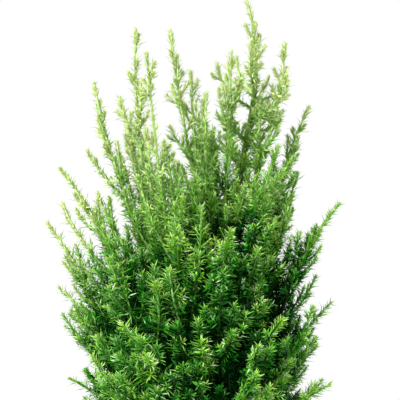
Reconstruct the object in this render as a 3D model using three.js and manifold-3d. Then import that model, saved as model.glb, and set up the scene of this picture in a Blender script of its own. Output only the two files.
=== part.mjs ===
// A young upright cypress of garden size: one leaning trunk, steeply rising boughs, and a separate
// feathery plume of foliage on each bough. Millimetres, +Z up, origin at the middle of the trunk's
// flat cut at ground level. +X is to the right and -Y is the front.
import * as THREE from "three";
import { mergeVertices } from "three/addons/utils/BufferGeometryUtils.js";
import Module from "manifold-3d";

const wasm = await Module();
wasm.setup();

// Driving dimensions
const TREE_HEIGHT = 389;
const GAP = 0.35; // clear space between neighbouring solids
const SEAT = 0.4; // from a bough's end to the mass that it carries

// The trunk leans to the right as it rises, and its leading shoot bends back to the left.
const TRUNK_LINE = new THREE.CatmullRomCurve3(
  [
    [0, 0, 0],
    [1, 0, 40],
    [5, 1, 100],
    [13, 2, 180],
    [30, 1, 260],
    [42, -1, 330],
    [42, -2, 355],
    [34, -3, TREE_HEIGHT],
  ].map((point) => new THREE.Vector3(...point)),
);
const TRUNK = { foot: 5.2, tip: 0.9, taper: 0.85, end: 0.94, sides: 9, rings: 10, level: true };
const FLARE = { width: 4.2, height: 9 };

// A bough's radius is a share of its length. leaving and arriving are the shares of its span that
// it runs in its first and last directions.
const BOUGH = { girth: 0.012, taper: 0.5, tip: 0.55, leaving: 0.3, arriving: 0.42, sides: 5, rings: 4 };

// A plume's width follows u ** rise * (1 - u) ** fall from its foot to its tip.
const MASS = { rise: 0.5, fall: 0.75, tip: 0.9, sides: 7, rings: 6 };
const LOBES = [
  { count: 2, size: 0.13, twist: 4, shift: 2.4 },
  { count: 3, size: 0.1, twist: -6, shift: 1.7 },
];

// Each tier of boughs. leave and lift are the angles above level at which a bough leaves the trunk
// and at which its tip points. entry is the share of the bough that is bare. wide and deep are the
// half widths of its mass, round the tree and through it. Each bough is
// [azimuth, how far its tip reaches from the origin, height of its tip, height of its root], with
// a lift of its own after these where it differs from its tier's.
const TIERS = {
  leader: {
    leave: 62, lift: 84, entry: 0.4, wide: 19, deep: 18, color: 0x86b257,
    boughs: [
      [-11, 63, 358, 196],
      [-56, 40, 352, 168],
      [100, 41, 337, 182],
      [-168, 48, 368, 96, 90],
      [150, 25, 368, 204],
      [-84, 39, 322, 146],
      [160, 85, 328, 112, 78],
    ],
  },
  upper: {
    leave: 42, lift: 66, entry: 0.38, wide: 30, deep: 23, color: 0x6c9f45,
    boughs: [
      [16, 87, 310, 84],
      [88, 84, 300, 72],
      [142, 78, 318, 78, 74],
      [197, 108, 266, 66, 54],
      [252, 84, 288, 76],
      [314, 82, 284, 66],
    ],
  },
  middle: {
    leave: 38, lift: 52, entry: 0.34, wide: 39, deep: 26, color: 0x548d33,
    boughs: [
      [-8, 105, 239, 56],
      [48, 102, 240, 50],
      [112, 104, 244, 60],
      [174, 117, 222, 54],
      [222, 106, 234, 47],
      [282, 103, 226, 51],
    ],
  },
  lower: {
    leave: 32, lift: 38, entry: 0.32, wide: 47, deep: 27, color: 0x427a28,
    boughs: [
      [14, 104, 160, 38],
      [84, 102, 166, 33],
      [160, 116, 170, 36],
      [238, 104, 158, 40],
      [306, 102, 162, 35],
    ],
  },
  skirt: {
    leave: 24, lift: 24, entry: 0.32, wide: 46, deep: 22, color: 0x376b22,
    boughs: [
      [-12, 99, 104, 23],
      [62, 94, 98, 20],
      [128, 96, 106, 24],
      [196, 101, 110, 21],
      [266, 95, 96, 25],
    ],
  },
};

// The upper part of the trunk carries a plume of its own, up to the tree's tip.
const CROWN_TOP = { line: TRUNK_LINE, entry: 0.7, wide: 17, deep: 15, number: 0 };

const TRUNK_COLOR = 0x5f4330;
const BOUGH_COLOR = 0x74503a;
const BARK_ROUGHNESS = 0.9;
const FOLIAGE_ROUGHNESS = 0.6;

const UP = new THREE.Vector3(0, 0, 1);
const radians = THREE.MathUtils.degToRad;

const outwards = (azimuth) =>
  new THREE.Vector3(Math.cos(radians(azimuth)), Math.sin(radians(azimuth)), 0);

// The direction that points the given angle above level.
const rising = (outward, angle) =>
  outward.clone().multiplyScalar(Math.cos(radians(angle))).addScaledVector(UP, Math.sin(radians(angle)));

// The point of the trunk's line at a height, found by halving.
function trunkAt(height) {
  let low = 0;
  let high = 1;
  for (let step = 0; step < 30; step++) {
    const middle = (low + high) / 2;
    if (TRUNK_LINE.getPointAt(middle).z < height) low = middle;
    else high = middle;
  }
  return TRUNK_LINE.getPointAt(low);
}

// A closed solid along part of a line: a cylinder whose rings are set square to the line, or level,
// with half widths along side and across it. past lengthens its two ends.
function solidAlong({ line, from, to, side, shape, halfWidths, past }) {
  const geometry = new THREE.CylinderGeometry(1, 1, 1, shape.sides, shape.rings);
  const position = geometry.attributes.position;
  for (let i = 0; i < position.count; i++) {
    const corner = new THREE.Vector3().fromBufferAttribute(position, i);
    const u = THREE.MathUtils.clamp(corner.y + 0.5, 0, 1);
    const t = from + (to - from) * u;
    const along = shape.level ? UP : line.getTangentAt(t);
    const first = side.clone().projectOnPlane(along).normalize();
    const second = first.clone().cross(along);
    const [wide, deep] = halfWidths(u, Math.atan2(corner.z, corner.x));
    const place = line.getPointAt(t);
    if (u === 0) place.addScaledVector(along, -past[0]);
    if (u === 1) place.addScaledVector(along, past[1]);
    place.addScaledVector(first, corner.x * wide).addScaledVector(second, corner.z * deep);
    position.setXYZ(i, ...place);
  }
  geometry.deleteAttribute("normal");
  geometry.deleteAttribute("uv");
  const merged = mergeVertices(geometry, 1e-3);
  const vertProperties = merged.attributes.position.array;
  const triVerts = new Uint32Array(merged.index.array);
  return new wasm.Manifold(new wasm.Mesh({ numProp: 3, vertProperties, triVerts }));
}

// The trunk tapers to its tip and flares at its foot.
function trunkSolid(extra = 0) {
  const halfWidths = (u) => {
    const taper = TRUNK.tip + (TRUNK.foot - TRUNK.tip) * (1 - u) ** TRUNK.taper;
    const flare = FLARE.width * Math.exp((-u * TREE_HEIGHT) / FLARE.height);
    return [taper + flare + extra, taper + flare + extra];
  };
  return solidAlong({
    line: TRUNK_LINE,
    from: 0,
    to: TRUNK.end,
    side: outwards(90),
    shape: TRUNK,
    halfWidths,
    past: [0, extra],
  });
}

function boughLine({ azimuth, reach, tip, root, leave, lift }) {
  const start = trunkAt(root);
  const end = outwards(azimuth).multiplyScalar(reach).setZ(tip);
  const outward = end.clone().sub(start).setZ(0).normalize();
  const span = start.distanceTo(end);
  return new THREE.CubicBezierCurve3(
    start,
    start.clone().addScaledVector(rising(outward, leave), BOUGH.leaving * span),
    end.clone().addScaledVector(rising(outward, lift), -BOUGH.arriving * span),
    end,
  );
}

function boughSolid(bough, extra = 0) {
  const girth = BOUGH.girth * bough.line.getLength();
  const halfWidths = (u) => {
    const radius = BOUGH.tip + girth * (1 - BOUGH.taper * u) + extra;
    return [radius, radius];
  };
  return solidAlong({
    line: bough.line,
    from: 0,
    to: bough.entry,
    side: bough.side,
    shape: BOUGH,
    halfWidths,
    past: [0, extra],
  });
}

// A plume swells from the bough's end to its widest part and narrows to the shoot at its tip. Its
// lobes differ from bough to bough.
function massSolid(bough, extra = 0) {
  const widest = MASS.rise / (MASS.rise + MASS.fall);
  const swell = (u) => (u / widest) ** MASS.rise * ((1 - u) / (1 - widest)) ** MASS.fall;
  const halfWidths = (u, angle) => {
    let lobes = 1;
    for (const { count, size, twist, shift } of LOBES) {
      lobes += size * Math.sin(count * angle + twist * u + shift * bough.number);
    }
    return [bough.wide, bough.deep].map((half) => MASS.tip + half * swell(u) * lobes + extra);
  };
  return solidAlong({
    line: bough.line,
    from: bough.entry + SEAT / bough.line.getLength(),
    to: 1,
    side: bough.side,
    shape: MASS,
    halfWidths,
    past: [extra, extra],
  });
}

// What is left of a solid when the others are cut away, without loose slivers.
function cutBy(solid, others) {
  const left = others.reduce((rest, other) => rest.subtract(other), solid);
  return left.decompose().reduce((best, piece) => (piece.volume() > best.volume() ? piece : best));
}

function toMesh(solid, name, color, roughness) {
  const { vertProperties, triVerts } = solid.getMesh();
  const geometry = new THREE.BufferGeometry();
  geometry.setAttribute("position", new THREE.BufferAttribute(vertProperties, 3));
  geometry.setIndex(new THREE.BufferAttribute(triVerts, 1));
  geometry.computeVertexNormals();
  const material = new THREE.MeshStandardMaterial({ color, roughness, metalness: 0 });
  const mesh = new THREE.Mesh(geometry, material);
  mesh.name = name;
  return mesh;
}

const boughs = Object.entries(TIERS).flatMap(([tier, sizes]) =>
  sizes.boughs.map(([azimuth, reach, tip, root, lift = sizes.lift], i) => {
    const bough = { ...sizes, tier, order: i + 1, azimuth, reach, tip, root, lift };
    return { ...bough, line: boughLine(bough), side: outwards(azimuth + 90) };
  }),
);
const plumes = [{ ...CROWN_TOP, side: outwards(90), color: TIERS.leader.color }];
boughs.forEach((bough, i) => plumes.push({ ...bough, number: i + 1 }));

// Every solid is cut back from the room that the trunk and the solids before it take.
const tree = new THREE.Group();
tree.add(toMesh(trunkSolid(), "trunk", TRUNK_COLOR, BARK_ROUGHNESS));
const taken = [trunkSolid(GAP)];

for (const bough of boughs) {
  const name = `${bough.tier}_bough_${bough.order}`;
  tree.add(toMesh(cutBy(boughSolid(bough), taken), name, BOUGH_COLOR, BARK_ROUGHNESS));
  taken.push(boughSolid(bough, GAP));
}

for (const plume of plumes) {
  const name = plume.tier ? `${plume.tier}_mass_${plume.order}` : "crown_top_mass";
  tree.add(toMesh(cutBy(massSolid(plume), taken), name, plume.color, FOLIAGE_ROUGHNESS));
  taken.push(massSolid(plume, GAP));
}

export default tree;
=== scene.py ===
"""Looks of the young cypress: bark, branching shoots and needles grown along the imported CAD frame."""
import math

import bpy
import numpy as np
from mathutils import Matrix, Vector
from mathutils.bvhtree import BVHTree


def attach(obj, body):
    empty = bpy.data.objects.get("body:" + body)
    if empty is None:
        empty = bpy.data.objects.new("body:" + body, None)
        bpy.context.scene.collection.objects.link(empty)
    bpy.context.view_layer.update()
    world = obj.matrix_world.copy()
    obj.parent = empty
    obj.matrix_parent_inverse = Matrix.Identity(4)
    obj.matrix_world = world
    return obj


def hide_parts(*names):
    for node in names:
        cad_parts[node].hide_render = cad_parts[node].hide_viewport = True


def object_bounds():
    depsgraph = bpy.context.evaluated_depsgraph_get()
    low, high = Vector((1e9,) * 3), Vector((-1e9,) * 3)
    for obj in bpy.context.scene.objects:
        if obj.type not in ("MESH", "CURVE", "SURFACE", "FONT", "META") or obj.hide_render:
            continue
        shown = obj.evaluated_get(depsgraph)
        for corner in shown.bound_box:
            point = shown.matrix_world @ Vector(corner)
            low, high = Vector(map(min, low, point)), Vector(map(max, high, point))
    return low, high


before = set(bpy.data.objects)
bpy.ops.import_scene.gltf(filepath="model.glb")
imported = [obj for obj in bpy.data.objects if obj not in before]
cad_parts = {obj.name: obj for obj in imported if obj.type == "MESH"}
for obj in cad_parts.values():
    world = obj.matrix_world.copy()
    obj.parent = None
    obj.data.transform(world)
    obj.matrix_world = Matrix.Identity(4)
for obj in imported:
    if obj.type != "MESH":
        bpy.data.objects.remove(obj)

CAD_BOX = [list(corner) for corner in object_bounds()]
MM = 0.001
FAR = 0.3  # further than anything on the plant is from its middle
UP = np.array([0.0, 0.0, 1.0])
SEED = 79
rng = np.random.default_rng(SEED)

# How the leading shoots grow from a limb, by the tier in its mass's name. One grows for each such area
# of the mass in mm2, at this angle from the limb. narrowing is how much shorter they are near the
# limb's tip, bending how far they turn upwards and along the limb, sparse the share that is missing
# where the crown is loose, reaching the share that grows out of the mass, and tucked how much
# shorter those are that grow away from the trunk.
TIERS = {
    "crown": dict(area=1250, angle=21, narrowing=0.3, bending=0.35, sparse=0, reaching=0, tucked=0),
    "leader": dict(area=1150, angle=20, narrowing=0.25, bending=0.4, sparse=0, reaching=0.04, tucked=0.1),
    "upper": dict(area=560, angle=21, narrowing=0.35, bending=0.9, sparse=0.25, reaching=0.1, tucked=0.2),
    "middle": dict(area=360, angle=23, narrowing=0.45, bending=1, sparse=0.35, reaching=0.04, tucked=0.28),
    "lower": dict(area=380, angle=28, narrowing=0.4, bending=1, sparse=0.2, reaching=0.04, tucked=0.12),
    "skirt": dict(area=420, angle=32, narrowing=0.3, bending=1, sparse=0.2, reaching=0.05, tucked=0.1),
}
GOLDEN_TURN = math.radians(137.5)

# Leading shoots start up to this far before a limb's mass begins and end this far from its tip.
LEADERS_BEFORE_MASS = 55 * MM
BOUGH_END = 36 * MM
TRUNK_END = 22 * MM
SHORTEST_LEADER = 11 * MM
LOWEST_TIP = 30 * MM
PAST_BOX = 5 * MM  # how far a leading shoot's tip may stand out of the CAD model's box
CLUB_LENGTH = 12 * MM  # of the closed tuft at a shoot's tip
SIDE_SPACING = 3.6 * MM  # along a leading shoot, and of twiglets along a side shoot

# Above these heights the tufts and the closed side shoots carry the scaly needles of the top.
CLUB_HEIGHT = 0.22
SCALE_HEIGHT = 0.27

# Depths under the crown's surface beyond which it grows less.
FEWER_LEADERS = 34 * MM
LEFT_OUT = 0.4  # the share of the leading shoots that is missing there
FEWER_SIDE_SHOOTS = 26 * MM  # they stand further apart there
NO_TWIGLETS = 22 * MM
# There the needles' dark colour is painted shade.
INNER_SPRAYS = 17 * MM  # side shoots carry the wide, dark inner needles there

# The open stretch at a limb's tip, where the stem shows between closed side shoots: its length on
# the lowest limb and on the highest.
OPEN_STRETCH = (26 * MM, 74 * MM)

# Needles in opposite pairs: spacing of the pairs, length and width in mm, angle from the shoot, and
# the angle that they close to at the shoot's tip. curve is the least and the most that a needle's tip
# bends towards the shoot, as a share of its length. flat is how far every other pair is held back, in
# length and angle, so that the rest make a flat spray.
NEEDLES = dict(spacing=1.35, length=6.3, width=0.9, angle=58, closed=32, curve=(-0.1, 0.2), flat=0.6)
CLUB_NEEDLES = dict(spacing=0.85, length=5.0, width=1.25, angle=33, closed=14, curve=(-0.1, 0.1), flat=0)
FEATHERS = dict(spacing=1.85, length=4.7, width=1.3, angle=44, closed=22, curve=(-0.15, 0.1), flat=0)
SCALES = dict(spacing=1.7, length=4.4, width=1.4, angle=13, closed=8, curve=(0.0, 0.1), flat=0)
STEM_NEEDLES = dict(spacing=1.8, length=6.9, width=1.0, angle=48, closed=26, curve=(-0.3, 0.0), flat=0)
THIN_NEEDLES = dict(spacing=3.8, length=7.8, width=1.05, angle=50, closed=34, curve=(-0.3, 0.15), flat=0)
INNER_NEEDLES = dict(spacing=2.0, length=6.5, width=1.8, angle=52, closed=35, curve=(0.0, 0.2), flat=0.3)

# Colours at a needle's foot, middle and tip, as sRGB. A needle's shade runs from below 0 in the open to
# 3 and more deep inside, and picks these colours as painted light and shade, over the needles' own tone.
# Light and soft needles have less shade and more height than these limits: painted light on the crown's
# top and left side. Pale ones are a random share of those with less than this shade: the waxy pale
# undersides, and also painted highlights.
LIGHT = dict(shade=0.7, height=0.312)
SOFT = dict(shade=1.3, height=0.258)
PALE = dict(shade=1.5, share=0.09)
COLOURS = {
    "needles_light": ((152, 186, 80), (188, 204, 124), (208, 218, 170)),
    "needles_soft": ((80, 142, 28), (114, 168, 48), (166, 200, 112)),
    "needles_tip": ((96, 158, 16), (138, 188, 46), (196, 216, 136)),
    "needles_young": ((60, 132, 10), (90, 162, 26), (150, 196, 94)),
    "needles_mature": ((24, 92, 6), (46, 126, 14), (94, 158, 50)),
    "needles_shade": ((4, 60, 2), (12, 86, 8), (30, 106, 26)),
    "needles_inner": ((2, 34, 2), (4, 46, 4), (8, 58, 10)),
    "needles_pale": ((104, 156, 90), (152, 192, 132), (194, 216, 172)),
}
# The others follow their shade alone, each up to this limit.
SHADE_LIMITS = {
    "needles_tip": 0.4,
    "needles_young": 0.95,
    "needles_mature": 1.7,
    "needles_shade": 2.3,
    "needles_inner": np.inf,
}
# Stem colours in three steps of painted shade: light stems where the light comes in and the crown is
# loose, shade stems deep inside.
STEM_COLOURS = {
    "light": ((108, 154, 62), (136, 180, 90), (160, 196, 114)),
    "green": ((52, 92, 26), (72, 124, 34), (104, 160, 50)),
    "shade": ((28, 42, 12), (34, 56, 16), (30, 66, 18)),
}
FOLDED_ONLY = ("needles_shade", "needles_inner")  # deep in the crown, where a plain fold is enough
YOUNG_TIERS = ("crown", "leader", "upper")
MOST_TRIANGLES = 190_000  # in one piece

# Bark: furrow, ridge, scale of its noise, and the heights between which it turns green. These colours
# and the young green are dark: partly the wood's own colour and partly painted shade for wood inside the
# crown.
TRUNK_BARK = ((44, 30, 18), (104, 78, 54), 900, (0.19, 0.31))
BOUGH_BARK = ((34, 26, 14), (66, 52, 32), 1400, (0.13, 0.23))
YOUNG_BARK = ((62, 98, 26), (108, 144, 56))

# The white walls look as bright as 1 and light the tree this strongly.
AMBIENT = 1.2
KEY_LIGHT = dict(place=(-0.7, -1.1, 1.3), aim=(0, 0, 0.22), size=0.5, power=42)
FLOOR_RADIUS, FLOOR_SIDES = 0.45, 96


# ---------------------------------------------------------------- arrays and curves

def unit(vectors):
    return vectors / np.linalg.norm(vectors, axis=-1, keepdims=True).clip(1e-12)


def square_to(along):
    """Two directions square to each given one and to each other."""
    steep = np.abs(along[:, 2:]) > 0.9
    first = unit(np.cross(along, np.where(steep, (1.0, 0.0, 0.0), UP)))
    return first, np.cross(along, first)


def turned(first, second, angle):
    return first * np.cos(angle)[:, None] + second * np.sin(angle)[:, None]


def spread(low, high, count):
    return rng.uniform(low, high, count)


def between(value, start, end):
    """0 at start, rising evenly to 1 at end, and level beyond both."""
    return np.clip((value - start) / (end - start), 0, 1)


def repeats(counts):
    """For counts 2, 3: the owners 0, 0, 1, 1, 1 and the numbers 0, 1, 0, 1, 2."""
    owner = np.repeat(np.arange(len(counts)), counts)
    return owner, np.arange(len(owner)) - np.repeat(np.cumsum(counts) - counts, counts)


class Shoots:
    """Many curved shoots at once, each a quadratic curve from its start over its bend to its tip."""

    def __init__(self, start, bend, tip, **facts):
        self.start, self.bend, self.tip = start, bend, tip
        self.length = np.linalg.norm(bend - start, axis=1) + np.linalg.norm(tip - bend, axis=1)
        self.count = len(start)
        self.facts = {name: np.broadcast_to(value, self.count).copy() for name, value in facts.items()}

    def __getitem__(self, name):
        return self.facts[name]

    def at(self, which, t):
        t = t[:, None]
        first = self.start[which] * (1 - t) + self.bend[which] * t
        return first * (1 - t) + (self.bend[which] * (1 - t) + self.tip[which] * t) * t

    def along(self, which, t):
        t = t[:, None]
        legs = self.bend[which] - self.start[which], self.tip[which] - self.bend[which]
        return unit(legs[0] * (1 - t) + legs[1] * t)

    def pick(self, chosen):
        facts = {name: value[chosen] for name, value in self.facts.items()}
        return Shoots(self.start[chosen], self.bend[chosen], self.tip[chosen], **facts)


def joined(groups):
    arrays = [np.concatenate([getattr(g, part) for g in groups]) for part in ("start", "bend", "tip")]
    facts = {name: np.concatenate([g[name] for g in groups]) for name in groups[0].facts}
    return Shoots(*arrays, **facts)


def bezier(points, t):
    a, b, c, d = points
    t = np.asarray(t)[..., None]
    return a * (1 - t) ** 3 + 3 * b * t * (1 - t) ** 2 + 3 * c * t * t * (1 - t) + d * t**3


# ---------------------------------------------------------------- reading the frame

class Solid:
    """A CAD node's mesh, for measuring."""

    def __init__(self, name):
        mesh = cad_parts[name].data
        mesh.calc_loop_triangles()
        self.name = name
        self.corners = np.empty(len(mesh.vertices) * 3)
        mesh.vertices.foreach_get("co", self.corners)
        self.corners = self.corners.reshape(-1, 3)
        self.faces = np.empty(len(mesh.loop_triangles) * 3, int)
        mesh.loop_triangles.foreach_get("vertices", self.faces)
        self.faces = self.faces.reshape(-1, 3)
        a, b, c = (self.corners[self.faces[:, i]] for i in range(3))
        self.areas = np.linalg.norm(np.cross(b - a, c - a), axis=1) / 2

    def samples(self, spacing):
        """Random points on the surface, one for each square of this spacing."""
        count = int(self.areas.sum() / spacing**2)
        face = rng.choice(len(self.faces), count, p=self.areas / self.areas.sum())
        parts = rng.dirichlet((1, 1, 1), count)
        return (self.corners[self.faces[face]] * parts[:, :, None]).sum(1)


def tree_of(solids):
    corners, faces, used = [], [], 0
    for solid in solids:
        corners += solid.corners.tolist()
        faces += (solid.faces + used).tolist()
        used += len(solid.corners)
    return BVHTree.FromPolygons(corners, faces)


def end_beside(solid, tree, within):
    """Middle of the solid's end that lies closest to the other solid."""
    points = solid.samples(0.8 * MM)
    gaps = np.array([tree.find_nearest(Vector(point))[3] for point in points])
    return points[gaps < gaps.min() + within].mean(0)


trunk = Solid("trunk")
masses = {name: Solid(name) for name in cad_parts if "_mass" in name}
crown = tree_of(masses.values())

# The trunk's rings are level, so each height that its corners share gives a middle and a radius.
ring_heights = np.unique(trunk.corners[:, 2].round(4))
rings = [trunk.corners[np.abs(trunk.corners[:, 2] - z) < 0.1 * MM] for z in ring_heights]
ring_middles = np.array([(ring.min(0) + ring.max(0)) / 2 for ring in rings])
ring_radii = np.array([np.ptp(ring[:, 0]) / 2 for ring in rings])


def trunk_middle(heights):
    return np.stack([np.interp(heights, ring_heights, ring_middles[:, i]) for i in range(2)], -1)


class Limb:
    """A bough and the shoot that it becomes in its mass: one curve from its root to its tip, worked
    out from both solids. entry is the distance along it at which the mass begins."""

    def __init__(self, mass):
        self.mass = mass
        self.tree = tree_of([mass])
        shell = mass.samples(4 * MM)
        if mass.name == "crown_top_mass":
            self.bough = None
            foot = mass.corners[:, 2].min()
            root = np.append(trunk_middle(foot), foot)
            wood = np.vstack([ring for ring in rings if ring[0, 2] > foot])
        else:
            self.bough = Solid(mass.name.replace("_mass_", "_bough_"))
            root = end_beside(self.bough, tree_of([trunk]), 1.5 * MM)
            wood = self.bough.samples(1.2 * MM)
        tip = mass.corners[np.argmax(np.linalg.norm(mass.corners - root, axis=1))]
        cloud = np.vstack([wood, shell])
        weight = np.repeat([1.0, 0.12], [len(wood), len(shell)])[:, None]
        self.grid = np.linspace(0, 1, 121)
        self.fit(cloud, weight, root, tip)
        self.entry = 0.0
        self.radii = (ring_radii[-1], ring_radii[-1])
        if self.bough:
            end = end_beside(self.bough, self.tree, 0.8 * MM)
            self.entry = self.reaches[np.argmin(np.linalg.norm(self.places - end, axis=1))]
            gaps = np.linalg.norm(wood[:, None] - self.places[None], axis=2)
            reach = self.reaches[gaps.argmin(1)]
            away = 1.06 * gaps.min(1)
            slope, level = np.polyfit(reach, away, 1)
            self.radii = (level, level + slope * self.entry)

    def fit(self, cloud, weight, root, tip):
        near = np.linalg.norm(cloud - root, axis=1)
        t = near / (near + np.linalg.norm(cloud - tip, axis=1))
        for _ in range(6):
            s = t[:, None]
            basis = np.hstack([3 * s * (1 - s) ** 2, 3 * s * s * (1 - s)])
            rest = cloud - root * (1 - s) ** 3 - tip * s**3
            bends = np.linalg.lstsq(basis * weight, rest * weight, rcond=None)[0]
            self.places = bezier((root, *bends, tip), self.grid)
            t = self.grid[np.linalg.norm(cloud[:, None] - self.places[None], axis=2).argmin(1)]
        steps = np.linalg.norm(np.diff(self.places, axis=0), axis=1)
        self.reaches = np.concatenate([[0], np.cumsum(steps)])
        self.length = self.reaches[-1]
        self.ways = unit(np.gradient(self.places, axis=0))

    def at(self, reach):
        return np.stack([np.interp(reach, self.reaches, self.places[:, i]) for i in range(3)], -1)

    def along(self, reach):
        return unit(np.stack([np.interp(reach, self.reaches, self.ways[:, i]) for i in range(3)], -1))


limbs = [Limb(mass) for mass in masses.values()]


def depths(points):
    """How far each point lies under the crown's outer surface, seen from the side and from above."""
    outward = points[:, :2] - trunk_middle(points[:, 2])
    outward = unit(np.hstack([outward, np.zeros((len(points), 1))]))
    least = np.full(len(points), np.inf)
    for view in (outward, unit(outward + 1.2 * UP)):
        for i, (point, direction) in enumerate(zip(points, view)):
            gap = crown.ray_cast(Vector(point + FAR * direction), Vector(-direction), 2 * FAR)[3]
            least[i] = min(least[i], 0.0 if gap is None else max(0.0, FAR - gap))
    return least


# ---------------------------------------------------------------- leading shoots

def lit_height(points):
    """Height in metres, counted higher towards the left, where the light comes in, and at both edges."""
    middle, left_gain, right_gain, edge_gain = 0.03, -0.75, 0.45, 0.06
    aside = points[:, 0] - middle
    edge = between(np.abs(aside), 0.09, 0.12)
    return points[:, 2] + np.where(aside < 0, left_gain, right_gain) * aside + edge_gain * edge


def leftness(points):
    """0 to the right of the middle, rising to 1 in the left half."""
    return between(points[:, 0], 0.02, -0.04)


def looseness(points):
    """How open the crown is at each point, 0 to 1: its upper part and its left side, and less so
    its right side."""
    x, z = points[:, 0], points[:, 2]
    above = between(lit_height(points), 0.21, 0.31)
    left = between(x, 0.005, -0.08) * np.maximum(between(z, 0.09, 0.17), 0.3)
    right = 0.7 * between(x, 0.05, 0.08)
    edge = 0.9 * between(np.abs(x - trunk_middle(z)[:, 0]), 0.068, 0.09)
    return np.maximum.reduce([above, left, right, edge])


def across(places, along):
    """Two directions square to each given one, of which the first also lies square to the line from
    the trunk to the place."""
    outward = places[:, :2] - trunk_middle(places[:, 2])
    first = unit(np.cross(along, np.hstack([outward, np.zeros((len(places), 1))])))
    return first, np.cross(along, first)


def open_stretch(heights):
    lowest, highest = 0.1, CAD_BOX[1][2]
    return np.interp(heights, (lowest, highest), OPEN_STRETCH)


def stem_radius(left, loose):
    """Radius of a stem at a distance from its tip. Stems in the open start thicker and swell less."""
    return (0.4 + 0.35 * loose) * MM + np.minimum(0.0075 * left, (1 - 0.6 * loose) * MM)


def limb_stems(limb):
    """The green part of a limb, in three stretches."""
    cuts = np.linspace(limb.entry, limb.length, 4)
    rows = []
    for low, high in zip(cuts, cuts[1:]):
        start, tip = limb.at(low), limb.at(high)
        bend = start + limb.along(low) * np.linalg.norm(tip - start) / 2
        rows.append((start, bend, tip, limb.length - high))
    start, bend, tip, beyond = (np.array(column) for column in zip(*rows))
    shoots = Shoots(start, bend, tip, beyond=beyond, bare=0.0, tone=rng.normal(0, 1))
    shoots.facts["stretch"] = np.full(len(rows), open_stretch(limb.places[-1, 2]))
    wood = np.interp(start[:, 2], ring_heights, ring_radii)
    shoots.facts["wood"] = np.zeros(len(rows)) if limb.bough else wood
    return shoots


def limb_leaders(limb):
    """Leading shoots from a limb to the surface of its mass, turning round the limb as they rise."""
    tier = TIERS[limb.mass.name.split("_")[0]]
    count = max(4, int(limb.mass.areas.sum() / (tier["area"] * MM**2)))
    first = max(0.12 * limb.entry, limb.entry - LEADERS_BEFORE_MASS)
    last = limb.length - (BOUGH_END if limb.bough else TRUNK_END)
    phase = rng.uniform(0, 2 * np.pi)
    rows = []
    for k in range(count):
        reach = first + (last - first) * (k + rng.uniform(0.2, 0.8)) / count
        start, along = limb.at(reach), limb.along(reach)
        angle = math.radians(tier["angle"] + rng.normal(0, 4))
        turn = phase + k * GOLDEN_TURN + rng.normal(0, 0.2)
        out = turned(*square_to(along[None]), np.array([turn]))[0]
        way = unit(along * math.cos(angle) + out * math.sin(angle))
        # from well outside back towards the limb, to the surface of its mass
        hit, _, _, gap = limb.tree.ray_cast(Vector(start + FAR * way), Vector(-way), FAR)
        if hit is None:
            continue
        narrowing = 1 - tier["narrowing"] * between(reach / limb.length, 0.45, 0.85)
        lit = 1 + 1.5 * leftness((start + 40 * MM * way)[None])[0]
        reaching = 1.06 - 0.45 * rng.random() ** 1.3
        if rng.random() < tier["reaching"] * lit:
            reaching = rng.uniform(1.15, 1.5)
        outward = start[:2] - trunk_middle(start[2])
        facing = np.clip(out[:2] @ outward / max(np.linalg.norm(outward), 5 * MM), 0, 1)
        tip = start + way * (FAR - gap) * reaching * narrowing * (1 - tier["tucked"] * facing)
        size = np.linalg.norm(tip - start)
        if size < SHORTEST_LEADER or rng.random() < tier["sparse"] * looseness(tip[None])[0]:
            continue
        if (np.maximum(CAD_BOX[0] - tip, tip - CAD_BOX[1]) > PAST_BOX).any():
            continue
        fewer = 0.3 * between(tip[0], -0.01, 0.03)  # towards the right
        if rng.random() < fewer:
            continue
        heading = unit(way + tier["bending"] * (along + 0.7 * UP) + rng.normal(0, 0.09, 3))
        rows.append((start, tip - heading * size / 2, tip))
    return leading(rows, openness=0.75)


def inner_leaders(places, ways):
    """Leading shoots from the bare wood inside the crown."""
    rows = []
    for k, (start, along) in enumerate(zip(places, ways)):
        turn = np.array([k * GOLDEN_TURN + rng.normal(0, 0.2)])
        out = turned(*square_to(along[None]), turn)[0]
        way = unit(0.55 * along + out + 0.3 * UP)
        size = rng.uniform(26, 62) * MM
        tip = start + size * way
        if rng.random() < 0.8 * looseness(np.array([[tip[0], tip[1], min(tip[2], 0.2)]]))[0]:
            continue
        rows.append((start, tip - unit(0.6 * along + 0.5 * way + 0.5 * UP) * size / 2, tip))
    return leading(rows, openness=0.3)


def leading(rows, openness):
    """Leading shoots of these starts, bends and tips, each with a tone of its own."""
    start, bend, tip = (np.array(column) for column in zip(*rows))
    tone = rng.normal(0, 1, len(start))
    shoots = Shoots(start, bend, tip, beyond=0.0, bare=4 * MM, tone=tone, wood=0.0)
    shoots.facts["stretch"] = openness * open_stretch(tip[:, 2])
    return shoots


def finished(shoots):
    """The same shoots with the radii at their two ends and with their depth in the crown."""
    left = shoots["beyond"]
    young = stem_radius(left + shoots.length, looseness(shoots.start))
    shoots.facts["width"] = np.maximum(young, shoots["wood"])
    shoots.facts["end"] = stem_radius(left, looseness(shoots.tip))
    shoots.facts["depth"] = depths(shoots.at(np.arange(shoots.count), np.full(shoots.count, 0.75)))
    return shoots


def tips_of(leaders, size):
    """The last stretch of each leading shoot, which carries a closed tuft."""
    chosen = leaders.pick(leaders["beyond"] < 1e-6)
    every = np.arange(chosen.count)
    t = np.clip(1 - size / chosen.length, 0, 1)
    start = chosen.at(every, t)
    way = chosen.along(every, t)
    bend = start + way * np.linalg.norm(chosen.tip - start, axis=1)[:, None] / 2
    tips = Shoots(start, bend, chosen.tip, open=1.0, tone=chosen["tone"], depth=chosen["depth"])
    tips.facts["width"] = stem_radius(size, looseness(start))
    tips.facts["end"] = np.full(tips.count, 0.4 * MM)
    return tips


# ---------------------------------------------------------------- side shoots

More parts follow.
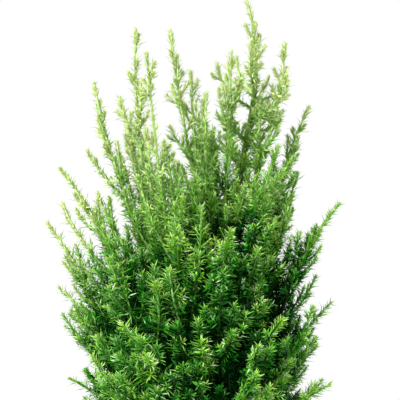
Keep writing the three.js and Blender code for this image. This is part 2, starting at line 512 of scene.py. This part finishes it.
def side_shoots(parents):
    """Sprays to one side and the other of the leading shoots, with every fifth one a quarter turn
    further round. They are shorter and fewer where the crown is loose, and near a leading shoot's
    tip they stand closer to it."""
    spacing = SIDE_SPACING * np.where(parents["depth"] > FEWER_SIDE_SHOOTS, 1.5, 1.0)
    counts = np.maximum((parents.length - parents["bare"]) / spacing, 0).astype(int)
    owner, number = repeats(counts)
    reach = parents["bare"][owner] + (number + spread(0.25, 0.75, len(owner))) * spacing[owner]
    left = parents.length[owner] - reach + parents["beyond"][owner]
    t = reach / parents.length[owner]
    loose = looseness(parents.at(owner, t))
    stretch = parents["stretch"][owner]
    open_ = np.clip(1.15 - left / stretch, 0, 1)
    share = (1 - 0.5 * loose) / (1 + 0.3 * open_)
    keep = (left > (8 + 5 * loose) * MM) & (rng.random(len(owner)) < share)
    owner, number, left, open_, loose, t = (a[keep] for a in (owner, number, left, open_, loose, t))
    start, along = parents.at(owner, t), parents.along(owner, t)
    tight = open_ * between(start[:, 2], 0.2, 0.31)
    turn = np.pi * number + np.where(number % 5 == 4, np.pi / 2, 0) + rng.normal(0, 0.45, len(owner))
    out = turned(*across(start, along), turn)
    angle = np.radians(51 - 14 * open_ + rng.normal(0, 5, len(owner)))[:, None]
    leave = unit(along * np.cos(angle) + out * np.sin(angle))
    thick = np.clip(5.5 * MM + 0.18 * left, 0, 14.5 * MM)
    thin = np.clip((6 + 3 * tight) * MM + 0.1 * left, 0, 13.5 * MM)
    size = ((thick * (1 - loose) + thin * loose) * spread(0.72, 1.2, len(owner)))[:, None]
    bend = start + leave * size * 0.5
    rise = (0.28 + 0.3 * open_)[:, None]
    tip = bend + unit(leave + rise * along + 0.35 * UP + rng.normal(0, 0.09, start.shape)) * size * 0.5
    tone = 0.75 * parents["tone"][owner] + rng.normal(0, 0.65, len(owner))
    made = Shoots(start, bend, tip, open=tight, tone=tone)
    made.facts["width"] = (0.3 + 0.35 * loose) * MM + 0.014 * made.length
    made.facts["end"] = (0.24 + 0.3 * loose) * MM
    made.facts["loose"] = loose
    made.facts["depth"] = depths(made.at(np.arange(made.count), np.full(made.count, 0.6)))
    return made


def twiglets_of(parents):
    """Short shoots on the lower half of the longer sprays."""
    long, bushy = parents.length > 12 * MM, parents["loose"] < 0.6
    chosen = parents.pick(long & bushy & (parents["depth"] < NO_TWIGLETS))
    counts = ((chosen.length * 0.55) / SIDE_SPACING).astype(int)
    owner, number = repeats(counts)
    reach = 2 * MM + (number + spread(0.2, 0.8, len(owner))) * SIDE_SPACING
    t = reach / chosen.length[owner]
    start, along = chosen.at(owner, t), chosen.along(owner, t)
    turn = number * np.pi + rng.normal(0, 0.4, len(owner))
    angle = np.radians(42 + rng.normal(0, 6, len(owner)))[:, None]
    leave = unit(along * np.cos(angle) + turned(*across(start, along), turn) * np.sin(angle))
    size = (spread(5, 8.5, len(owner)) * MM)[:, None]
    bend = start + leave * size * 0.5
    tip = bend + unit(leave + 0.3 * along + 0.12 * UP) * size * 0.5
    made = Shoots(start, bend, tip, open=0.0, tone=chosen["tone"][owner], depth=chosen["depth"][owner])
    made.facts["width"] = np.full(made.count, 0.36 * MM)
    made.facts["end"] = np.full(made.count, 0.22 * MM)
    return made


# ---------------------------------------------------------------- needles

class Needles:
    """Needles by their foot, direction, face and size, with what their colour depends on."""

    def __init__(self, **arrays):
        self.arrays = arrays

    def __getattr__(self, name):
        return self.arrays[name]

    def pick(self, chosen):
        return Needles(**{name: value[chosen] for name, value in self.arrays.items()})


def needles_on(shoots, rule, bare, dense=1.0):
    """Opposite pairs of needles, each pair turned a quarter from the last. bare is the share of the
    shoot without any. At the tip they are shorter and closer to the shoot."""
    bare = np.broadcast_to(bare, shoots.count)
    step = rule["spacing"] * MM / dense
    counts = np.maximum(shoots.length * (1 - bare) / step, 1).astype(int)
    owner, number = repeats(2 * counts)
    pair = number // 2
    t = bare[owner] + (pair + 0.5) / counts[owner] * (1 - bare[owner])
    t = np.clip(t + spread(-0.15, 0.15, len(owner)) * step / shoots.length[owner], 0, 1)
    foot, along = shoots.at(owner, t), shoots.along(owner, t)
    left = shoots.length[owner] * (1 - t)
    closing = np.clip(left / (4 * MM), 0, 1)
    facing = 0.3 if rule["flat"] else np.pi
    turn = spread(-facing, facing, shoots.count)[owner] + pair * np.radians(90) + (number % 2) * np.pi
    out = turned(*across(foot, along), turn + rng.normal(0, 0.12, len(owner)))
    out_of_plane = rule["flat"] * (pair % 2)
    angle = rule["closed"] + (rule["angle"] - rule["closed"]) * closing * (1 - 0.4 * out_of_plane)
    angle = np.radians(angle + rng.normal(0, 4, len(owner)))[:, None]
    length = rule["length"] * MM * (0.6 + 0.4 * closing) * spread(0.78, 1.18, len(owner))
    length = length * (1 - 0.5 * out_of_plane) * (1 + 0.3 * leftness(foot) * (1 - looseness(foot)))
    radius = shoots["width"][owner] * (1 - t) + shoots["end"][owner] * t
    return Needles(
        foot=foot + 0.8 * radius[:, None] * out,
        along=along * np.cos(angle) + out * np.sin(angle),
        face=along * np.sin(angle) - out * np.cos(angle),
        length=length,
        width=rule["width"] * MM * spread(0.85, 1.15, len(owner)) * (1.22 - 0.22 * looseness(foot)),
        left=left,
        tipward=left + (shoots["beyond"][owner] if "beyond" in shoots.facts else 0),
        depth=shoots["depth"][owner],
        tone=shoots["tone"][owner],
        curve=spread(*rule["curve"], len(owner)),
        open=shoots["open"][owner] if "open" in shoots.facts else np.zeros(len(owner)),
        height=foot[:, 2],
    )


def needle_mesh(needles, keeled):
    """A needle is a long kite, folded along its middle. A keeled one has one more corner on its ridge."""
    wide = np.cross(needles.along, needles.face) * needles.width[:, None] / 2
    long = needles.along * needles.length[:, None]
    lift = needles.face * needles.width[:, None] * 0.3
    curve = needles.face * (needles.length * needles.curve)[:, None]
    foot = needles.foot
    left, right = foot + 0.36 * long - wide + lift, foot + 0.36 * long + wide + lift
    tip = foot + long + curve
    if keeled:
        ridge = foot + 0.5 * long + 0.1 * curve
        points = np.stack([foot, left, right, ridge, tip], 1)
        faces = np.array([[0, 2, 3], [0, 3, 1], [1, 3, 4], [3, 2, 4]])
        places = np.array([[0.5, 0], [0, 0.36], [1, 0.36], [0.5, 0.5], [0.5, 1]])
    else:
        points = np.stack([foot, left, right, tip], 1)
        faces = np.array([[0, 2, 3], [0, 3, 1]])
        places = np.array([[0.5, 0], [0, 0.36], [1, 0.36], [0.5, 1]])
    return many(points, faces, places)


# ---------------------------------------------------------------- meshes

CELLS = (32, 16)  # the bake map holds this many small copies of a needle's or twig's outline
CELL_MARGIN = 0.12


def many(points, faces, places):
    """Arrays of one mesh for many like small things. Each takes a random cell of the map."""
    count, each = points.shape[:2]
    triangles = (faces[None] + each * np.arange(count)[:, None, None]).reshape(-1, 3)
    cell = np.stack([rng.integers(0, CELLS[0], count), rng.integers(0, CELLS[1], count)], 1)
    inside = CELL_MARGIN + (1 - 2 * CELL_MARGIN) * places
    uv = (cell[:, None] + inside[None]) / np.array(CELLS)
    return points.reshape(-1, 3), triangles, uv.reshape(-1, 2)[triangles.ravel()]


def tube_mesh(shoots, sides, rings):
    """Tapering tubes round the shoots, each closed to a point at its tip."""
    owner, ring = repeats(np.full(shoots.count, rings))
    t = ring / rings
    middle, along = shoots.at(owner, t), shoots.along(owner, t)
    radius = shoots["width"][owner] * (1 - t) + shoots["end"][owner] * t
    first, second = square_to(along)
    angle = 2 * np.pi * np.arange(sides) / sides
    cosine, sine = np.cos(angle)[None, :, None], np.sin(angle)[None, :, None]
    circle = first[:, None] * cosine + second[:, None] * sine
    points = (middle[:, None] + circle * radius[:, None, None]).reshape(shoots.count, rings * sides, 3)
    points = np.concatenate([points, shoots.tip[:, None]], 1)
    faces, apex = [], rings * sides
    for k in range(rings):
        for i in range(sides):
            a, b = k * sides + i, k * sides + (i + 1) % sides
            if k + 1 < rings:
                faces += [[a, b, b + sides], [a, b + sides, a + sides]]
            else:
                faces.append([a, b, apex])
    places = [[(i + 0.5) / sides, k / rings] for k in range(rings) for i in range(sides)] + [[0.5, 1]]
    return many(points, np.array(faces), np.array(places))


def make_piece(name, arrays, material, replaced=()):
    """A Blender mesh from points, triangles and a place on the bake map for each corner."""
    points, triangles, uv = arrays
    mesh = bpy.data.meshes.new(name)
    mesh.vertices.add(len(points))
    mesh.vertices.foreach_set("co", np.ascontiguousarray(points, np.float32).ravel())
    mesh.loops.add(triangles.size)
    mesh.loops.foreach_set("vertex_index", triangles.ravel().astype(np.int32))
    mesh.polygons.add(len(triangles))
    mesh.polygons.foreach_set("loop_start", np.arange(0, triangles.size, 3, dtype=np.int32))
    mesh.polygons.foreach_set("use_smooth", np.ones(len(triangles), bool))
    layer = mesh.uv_layers.new(name="OFBake")
    layer.uv.foreach_set("vector", np.ascontiguousarray(uv, np.float32).ravel())
    mesh.update(calc_edges=True)
    mesh.materials.append(material)
    piece = bpy.data.objects.new(name, mesh)
    bpy.context.scene.collection.objects.link(piece)
    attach(piece, "root")
    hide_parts(*replaced)
    return piece


# ---------------------------------------------------------------- materials

def new_material(name, roughness, specular=0.5):
    material = bpy.data.materials.new(name)
    material.use_nodes = True
    shader = material.node_tree.nodes["Principled BSDF"]
    shader.inputs["Roughness"].default_value = roughness
    shader.inputs["Specular IOR Level"].default_value = specular
    return material, material.node_tree, shader


def linear(color):
    """An sRGB colour of 0 to 255 as Blender's linear RGBA."""
    parts = [c / 255 for c in color]
    return [c / 12.92 if c <= 0.04045 else ((c + 0.055) / 1.055) ** 2.4 for c in parts] + [1.0]


def node(tree, kind, inputs=None, **settings):
    """A new node with these input values and settings."""
    made = tree.nodes.new("ShaderNode" + kind)
    for name, value in settings.items():
        setattr(made, name, value)
    for name, value in (inputs or {}).items():
        made.inputs[name].default_value = value
    return made


def colour_ramp(tree, stops):
    ramp = node(tree, "ValToRGB")
    for i, (place, color) in enumerate(stops):
        stop = ramp.color_ramp.elements[i] if i < 2 else ramp.color_ramp.elements.new(place)
        stop.position = place
        stop.color = linear(color)
    return ramp


def needle_material(name, foot, middle, tip, roughness=0.6, specular=0.14):
    """Colour runs from the needle's foot to its tip, and each cell of the map differs a little."""
    material, tree, shader = new_material(name, roughness, specular)
    place = node(tree, "UVMap", uv_map="OFBake")
    cells = node(tree, "VectorMath", {1: (*CELLS, 1)}, operation="MULTIPLY")
    inside = node(tree, "VectorMath", operation="FRACTION")
    axes = node(tree, "SeparateXYZ")
    ramp = colour_ramp(tree, [(0.12, foot), (0.88, tip), (0.45, middle)])
    which = node(tree, "VectorMath", operation="FLOOR")
    chance = node(tree, "TexWhiteNoise", noise_dimensions="2D")
    split = node(tree, "SeparateColor")
    hue = node(tree, "MapRange", {"To Min": 0.493, "To Max": 0.514})
    brightness = node(tree, "MapRange", {"To Min": 0.74, "To Max": 1.26})
    saturation = node(tree, "MapRange", {"To Min": 1.12, "To Max": 0.84})
    vary = node(tree, "HueSaturation")
    link = tree.links.new
    link(place.outputs["UV"], cells.inputs[0])
    link(cells.outputs[0], inside.inputs[0])
    link(inside.outputs[0], axes.inputs[0])
    link(axes.outputs["Y"], ramp.inputs["Fac"])
    link(cells.outputs[0], which.inputs[0])
    link(which.outputs[0], chance.inputs["Vector"])
    link(chance.outputs["Color"], split.inputs[0])
    link(split.outputs["Red"], hue.inputs["Value"])
    link(split.outputs["Green"], brightness.inputs["Value"])
    link(split.outputs["Green"], saturation.inputs["Value"])
    link(hue.outputs[0], vary.inputs["Hue"])
    link(brightness.outputs[0], vary.inputs["Value"])
    link(saturation.outputs[0], vary.inputs["Saturation"])
    link(ramp.outputs["Color"], vary.inputs["Color"])
    link(vary.outputs["Color"], shader.inputs["Base Color"])
    return material


def bark_material(name, furrow, ridge, scale, green=None):
    """Fibrous bark: noise drawn out along the height, darker in the furrows. green is the range of
    heights over which it turns into the green of young wood."""
    material, tree, shader = new_material(name, roughness=0.9, specular=0.2)
    where = node(tree, "TexCoord")
    stretch = node(tree, "Mapping", {"Scale": (1, 1, 0.16)})
    noise = node(tree, "TexNoise", {"Scale": scale, "Detail": 6})
    ramp = colour_ramp(tree, [(0.32, furrow), (0.7, ridge)])
    bump = node(tree, "Bump", {"Strength": 0.6, "Distance": 0.4 * MM})
    link = tree.links.new
    link(where.outputs["Object"], stretch.inputs["Vector"])
    link(stretch.outputs[0], noise.inputs["Vector"])
    link(noise.outputs["Fac"], ramp.inputs["Fac"])
    link(noise.outputs["Fac"], bump.inputs["Height"])
    link(bump.outputs["Normal"], shader.inputs["Normal"])
    colour = ramp.outputs["Color"]
    if green:
        young = colour_ramp(tree, [(0.3, YOUNG_BARK[0]), (0.7, YOUNG_BARK[1])])
        axes = node(tree, "SeparateXYZ")
        height = node(tree, "MapRange", {"From Min": green[0], "From Max": green[1]})
        mix = node(tree, "Mix", data_type="RGBA")
        link(noise.outputs["Fac"], young.inputs["Fac"])
        link(where.outputs["Object"], axes.inputs[0])
        link(axes.outputs["Z"], height.inputs["Value"])
        link(height.outputs[0], mix.inputs["Factor"])
        link(colour, mix.inputs["A"])
        link(young.outputs["Color"], mix.inputs["B"])
        colour = mix.outputs["Result"]
    link(colour, shader.inputs["Base Color"])
    return material


# ---------------------------------------------------------------- bark

def bark_tube(middles, radii, sides, lobes, relief, cell, level=False):
    """A closed tube of level or square rings with fibrous ridges. cell is its part of the map."""
    rows = len(middles)
    along = np.tile(UP, (rows, 1)) if level else unit(np.gradient(middles, axis=0))
    first, second = square_to(along)
    for i in range(1, rows):
        # carry the first direction up the tube, so that it doesn't twist
        first[i] = unit(first[i - 1] - along[i] * (first[i - 1] @ along[i]))
        second[i] = np.cross(along[i], first[i])
    angle = 2 * np.pi * np.arange(sides + 1) / sides
    up = np.concatenate([[0], np.cumsum(np.linalg.norm(np.diff(middles, axis=0), axis=1))])
    turn, rise = np.meshgrid(angle, up)
    shape = np.zeros_like(turn)
    for count, twist, size in ((7, 40, 0.3), (11, -60, 0.35), (17, 90, 0.25), (23, -150, 0.2)):
        wander = 1.3 * np.sin(rise * 140 + count) + 0.8 * np.sin(rise * 330 + 2 * count)
        shape += size * np.sin(count * turn + twist * rise + wander)
    ridges = 1 - np.abs(shape)
    flare = lobes * np.exp(-rise / (9 * MM)) * np.cos(5 * turn + 0.7)
    radius = radii[:, None] * (1 + flare) + relief * radii[:, None] * (ridges - 0.6)
    circle = first[:, None] * np.cos(turn)[..., None] + second[:, None] * np.sin(turn)[..., None]
    points = (middles[:, None] + circle * radius[..., None])[:, :-1].reshape(-1, 3)
    ends = len(points), len(points) + 1
    points = np.vstack([points, middles[0], middles[-1]])
    faces, places = [], []
    (left, low), (right, high) = cell
    grid_u = left + (right - left) * angle / (2 * np.pi)
    grid_v = low + (high - low) * up / up[-1]
    for k in range(rows - 1):
        for i in range(sides):
            a, b = k * sides + i, k * sides + (i + 1) % sides
            faces += [[a, b, b + sides], [a, b + sides, a + sides]]
            corners = [(grid_u[i], grid_v[k]), (grid_u[i + 1], grid_v[k]),
                       (grid_u[i + 1], grid_v[k + 1]), (grid_u[i], grid_v[k + 1])]
            places += [corners[0], corners[1], corners[2], corners[0], corners[2], corners[3]]
    for end, k in zip(ends, (0, rows - 1)):
        for i in range(sides):
            a, b = k * sides + i, k * sides + (i + 1) % sides
            faces.append([b, a, end] if k == 0 else [a, b, end])
            edge = [(grid_u[i + (k == 0)], grid_v[k]), (grid_u[i + (k > 0)], grid_v[k])]
            places += [*edge, ((grid_u[i] + grid_u[i + 1]) / 2, grid_v[k] + (0.004 if k else -0.004))]
    return points, np.array(faces), np.array(places)


def stacked(parts):
    points, faces, places, used = [], [], [], 0
    for part_points, part_faces, part_places in parts:
        points.append(part_points)
        faces.append(part_faces + used)
        places.append(part_places)
        used += len(part_points)
    return np.concatenate(points), np.concatenate(faces), np.concatenate(places)


def trunk_bark():
    heights = np.linspace(0, ring_heights[-1], 200)
    middles = np.column_stack([trunk_middle(heights), heights])
    radii = np.interp(heights, ring_heights, ring_radii)
    foot = np.clip(heights / ring_heights[1], 0, 1)
    curved = ring_radii[1] + (ring_radii[0] - ring_radii[1]) * (1 - foot) ** 2.4
    radii = np.where(heights < ring_heights[1], curved, radii)
    cell = ((0.02, 0.02), (0.98, 0.98))
    return bark_tube(middles, radii, sides=56, lobes=0.1, relief=0.16, cell=cell, level=True)


def bough_bark():
    """Each bough, with the woody foot of its limb inside the mass."""
    bare_rings, inner_rings, woody_share = 34, 13, 0.3
    parts, boughs = [], [limb for limb in limbs if limb.bough]
    columns = math.ceil(math.sqrt(len(boughs)))
    for i, limb in enumerate(boughs):
        bare = np.linspace(0, limb.entry, bare_rings)
        end = limb.entry + woody_share * (limb.length - limb.entry)
        inside = np.linspace(limb.entry, end, inner_rings + 1)[1:]
        low, high = limb.radii
        thin = 0.9 * stem_radius(limb.length - end, 0.0)
        radii = [np.linspace(low, high, bare_rings), np.linspace(high, thin, inner_rings)]
        corner = np.array([i % columns, i // columns])
        cell = ((corner + 0.06) / columns, (corner + 0.94) / columns)
        middles, radii = limb.at(np.concatenate([bare, inside])), np.concatenate(radii)
        parts.append(bark_tube(middles, radii, sides=10, lobes=0.0, relief=0.14, cell=cell))
    return stacked(parts)


# ---------------------------------------------------------------- growing the tree

def bare_wood():
    """Places along the boughs and the trunk inside the crown, for inner leading shoots."""
    places, ways = [], []
    for limb in limbs:
        reach = np.arange(0.3 * limb.entry, limb.entry, 10 * MM)
        places += list(limb.at(reach))
        ways += list(limb.along(reach))
    heights = np.arange(0.06, 0.33, 5 * MM)
    middles = np.column_stack([trunk_middle(heights), heights])
    return places + list(middles), ways + list(unit(np.gradient(middles, axis=0)))


stems = joined([limb_stems(limb) for limb in limbs])
leaders = joined([stems] + [limb_leaders(limb) for limb in limbs] + [inner_leaders(*bare_wood())])
leaders = finished(leaders)
hidden = (leaders["depth"] > FEWER_LEADERS) & (leaders["bare"] > 0)
hidden &= rng.random(leaders.count) < LEFT_OUT
leaders = leaders.pick(~hidden & (leaders.tip[:, 2] > LOWEST_TIP))
clubs = tips_of(leaders, CLUB_LENGTH)
sprays = side_shoots(leaders)
twiglets = twiglets_of(sprays)
shut = rng.random(sprays.count) < np.clip(1.7 * sprays["loose"] - 0.5, 0, 0.95)
hidden = sprays["depth"] * (1 - 0.6 * sprays["loose"]) > INNER_SPRAYS
closed = sprays.pick(shut)
bushy = sprays.pick(~shut & ~hidden)
inner = sprays.pick(~shut & hidden)
high_clubs = clubs.pick(clubs.tip[:, 2] > CLUB_HEIGHT)
low_clubs = clubs.pick(clubs.tip[:, 2] <= CLUB_HEIGHT)
scaly = closed.pick(closed.tip[:, 2] > SCALE_HEIGHT)
feathery = closed.pick(closed.tip[:, 2] <= SCALE_HEIGHT)


def some(needles, chance):
    """A random share of a leading shoot's needles. chance works it out from how loose the crown is
    and from how woody the shoot is: 0 near its tip, where closed scales cover it, and 1 below."""
    share = chance(looseness(needles.foot), between(needles.tipward, 14 * MM, 34 * MM))
    return needles.pick(rng.random(len(needles.foot)) < share)


groups = [
    needles_on(high_clubs, CLUB_NEEDLES, bare=0.0),
    needles_on(low_clubs, NEEDLES, bare=0.0, dense=1.3),
    needles_on(scaly, CLUB_NEEDLES, bare=0.35),
    needles_on(scaly, SCALES, bare=0.1),
    needles_on(feathery, FEATHERS, bare=0.1),
    needles_on(closed, THIN_NEEDLES, bare=0.1, dense=1.2),
    some(needles_on(leaders, SCALES, bare=0.0), lambda loose, wood: 1.5 * loose * (1 - 0.3 * wood)),
    some(needles_on(leaders, FEATHERS, bare=0.0), lambda loose, wood: 1.5 * loose * wood),
    some(needles_on(leaders, THIN_NEEDLES, bare=0.05), lambda loose, wood: 1.5 * loose),
    some(needles_on(leaders, STEM_NEEDLES, bare=0.08), lambda loose, wood: 1 - 1.1 * loose),
    needles_on(bushy, NEEDLES, bare=0.05),
    needles_on(inner, INNER_NEEDLES, bare=0.1),
    needles_on(twiglets, NEEDLES, bare=0.05),
]
facts = {name: np.concatenate([group.arrays[name] for group in groups]) for name in groups[0].arrays}
needles = Needles(**facts)

# A needle's shade, which picks its colour: painted shade that is low at the tips, near the surface and
# where the light comes in, as lit_height counts it, and high inside. Low down it is painted darker on the
# left side and lighter at the right edge. The shoot's own tone shifts it.
loose = looseness(needles.foot)
foot_x, foot_z = needles.foot[:, 0], needles.foot[:, 2]
left_side = between(np.abs(foot_x + 0.07), 0.035, 0)
right_edge = between(foot_x, 0.06, 0.085)
low_down = between(foot_z, 0.25, 0.19)
height = lit_height(needles.foot) + (0.035 * right_edge - 0.045 * left_side) * low_down
above = between(height, 0.17, 0.32)
top = between(needles.height, 0.19, 0.29)
inside = np.clip((needles.depth - 7 * MM) / (10 * MM), 0, 3 - 1.8 * loose)
shade = (
    inside * (1 - 0.9 * top) * (1 - 0.3 * loose)
    + (1.15 - 0.4 * above) * between(needles.left, 0, 12 * MM)
    - 0.27 * needles.tone
    + 0.22 * rng.normal(0, 1, len(needles.left))
    - 0.3 * needles.open
    - 0.5 * above
    + 0.4 * left_side * low_down
)
# Pale needles are the waxy undersides and also painted highlights, and light and soft ones paint the light
# on the crown's top and left side.
chance = rng.random(len(shade))
pale = (chance < PALE["share"] * (1 - 0.6 * above)) & (shade < PALE["shade"])
high = height + 0.02 * rng.normal(0, 1, len(shade))
light = (shade < LIGHT["shade"]) & ~pale & (high > LIGHT["height"])
soft = (shade < SOFT["shade"]) & ~pale & ~light & (high > SOFT["height"])
kinds = {"needles_light": light, "needles_soft": soft}
rest = ~pale & ~light & ~soft
for name, limit in SHADE_LIMITS.items():
    kinds[name] = rest & (shade < limit)
    rest = rest & ~kinds[name]
kinds["needles_pale"] = pale

young_masses = [name for name in masses if name.startswith(YOUNG_TIERS)]
old_masses = [name for name in masses if name not in young_masses]
bough_names = [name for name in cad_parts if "_bough_" in name]

trunk_look = bark_material("trunk bark", *TRUNK_BARK)
bough_look = bark_material("bough bark", *BOUGH_BARK)
make_piece("trunk_bark", trunk_bark(), trunk_look, ["trunk"])
make_piece("bough_bark", bough_bark(), bough_look, bough_names)

light_stem = needle_material("light stems", *STEM_COLOURS["light"], roughness=0.5)
green_stem = needle_material("green stems", *STEM_COLOURS["green"], roughness=0.5)
shade_stem = needle_material("shade stems", *STEM_COLOURS["shade"], roughness=0.6, specular=0.02)

# Each kind of stem has this material, from this shade up to the next kind's.
stem_kinds = {
    "light_stems": (light_stem, -np.inf),
    "green_stems": (green_stem, 0.1),
    "shade_stems": (shade_stem, 1),
}


def stem_kind(group):
    """0, 1 or 2 for each stem, as in the table above: painted shade, higher deeper in the crown and lower
    where it is loose and where the light comes in.
    """
    middles = group.at(np.arange(group.count), np.full(group.count, 0.5))
    loose = looseness(middles)
    above = between(lit_height(middles), 0.15, 0.29)
    shade = 0.5 + group["depth"] / (12 * MM) * (1 - 0.85 * loose) - 0.5 * loose - 0.9 * above
    return np.searchsorted([lowest for _, lowest in stem_kinds.values()], shade, side="right") - 1


# The groups of stems with the sides and rings of their tubes.
stem_tubes = [(leaders, 5, 6), (clubs, 3, 2), (sprays, 3, 2), (twiglets, 3, 1)]
for number, (name, (material, _)) in enumerate(stem_kinds.items()):
    tubes = []
    for group, sides, rings in stem_tubes:
        tubes.append(tube_mesh(group.pick(stem_kind(group) == number), sides, rings))
    make_piece(name, stacked(tubes), material)

stands_for = {"needles_young": young_masses, "needles_mature": old_masses}
for name, chosen in kinds.items():
    group = needles.pick(chosen)
    keeled = name not in FOLDED_ONLY
    specular = 0.14 if keeled else 0.02
    material = needle_material(name.replace("_", " "), *COLOURS[name], specular=specular)
    limit = MOST_TRIANGLES // (4 if keeled else 2)
    parts = max(1, math.ceil(len(group.foot) / limit))
    for i, rows in enumerate(np.array_split(np.arange(len(group.foot)), parts)):
        replaced = stands_for.get(name, []) if i == 0 else []
        make_piece(f"{name}_{i + 1}", needle_mesh(group.pick(rows), keeled), material, replaced)


# ---------------------------------------------------------------- stage, light and camera

def stage_floor():
    turn = np.linspace(0, 2 * np.pi, FLOOR_SIDES + 1)[:-1]
    rim = [(FLOOR_RADIUS * math.cos(angle), FLOOR_RADIUS * math.sin(angle), 0.0) for angle in turn]
    mesh = bpy.data.meshes.new("floor")
    mesh.from_pydata(rim, [], [list(range(FLOOR_SIDES))])
    floor = bpy.data.objects.new("floor", mesh)
    bpy.context.scene.collection.objects.link(floor)
    material, _, shader = new_material("floor", roughness=0.9, specular=0.1)
    shader.inputs["Base Color"].default_value = (0.86, 0.86, 0.85, 1)
    mesh.materials.append(material)


def soft_light(name, place, aim, size, power):
    """A round lamp at a place, turned towards what it lights."""
    light = bpy.data.lights.new(name, "AREA")
    light.shape = "DISK"
    light.size = size
    light.energy = power
    lamp = bpy.data.objects.new(name, light)
    lamp.location = place
    lamp.rotation_euler = (Vector(aim) - Vector(place)).to_track_quat("-Z", "Y").to_euler()
    bpy.context.scene.collection.objects.link(lamp)


def set_world():
    """A white studio, whose walls light the tree a little more strongly than they look."""
    world = bpy.data.worlds.new("studio")
    world.use_nodes = True
    tree = world.node_tree
    seen = node(tree, "LightPath")
    strength = node(tree, "MapRange", {"To Min": AMBIENT, "To Max": 1.0})
    wall = tree.nodes["Background"]
    wall.inputs["Color"].default_value = (1, 1, 1, 1)
    tree.links.new(seen.outputs["Is Camera Ray"], strength.inputs["Value"])
    tree.links.new(strength.outputs[0], wall.inputs["Strength"])
    bpy.context.scene.world = world
    bpy.context.scene.view_settings.view_transform = "Standard"


def set_camera():
    """A long lens, almost level. The crown's top is just inside the view and its foot below it."""
    distance, elevation, width, below_top = 1.5, math.radians(4), 0.3, 0.148
    target = Vector((0.0, 0.0, CAD_BOX[1][2] - below_top))
    camera = bpy.data.cameras.new("camera")
    camera.sensor_width = 36
    camera.lens = camera.sensor_width * distance / width
    seat = bpy.data.objects.new("camera", camera)
    seat.location = target + distance * Vector((0, -math.cos(elevation), math.sin(elevation)))
    seat.rotation_euler = (target - seat.location).to_track_quat("-Z", "Y").to_euler()
    bpy.context.scene.collection.objects.link(seat)
    bpy.context.scene.camera = seat


stage_floor()
set_world()
soft_light("key", **KEY_LIGHT)
set_camera()
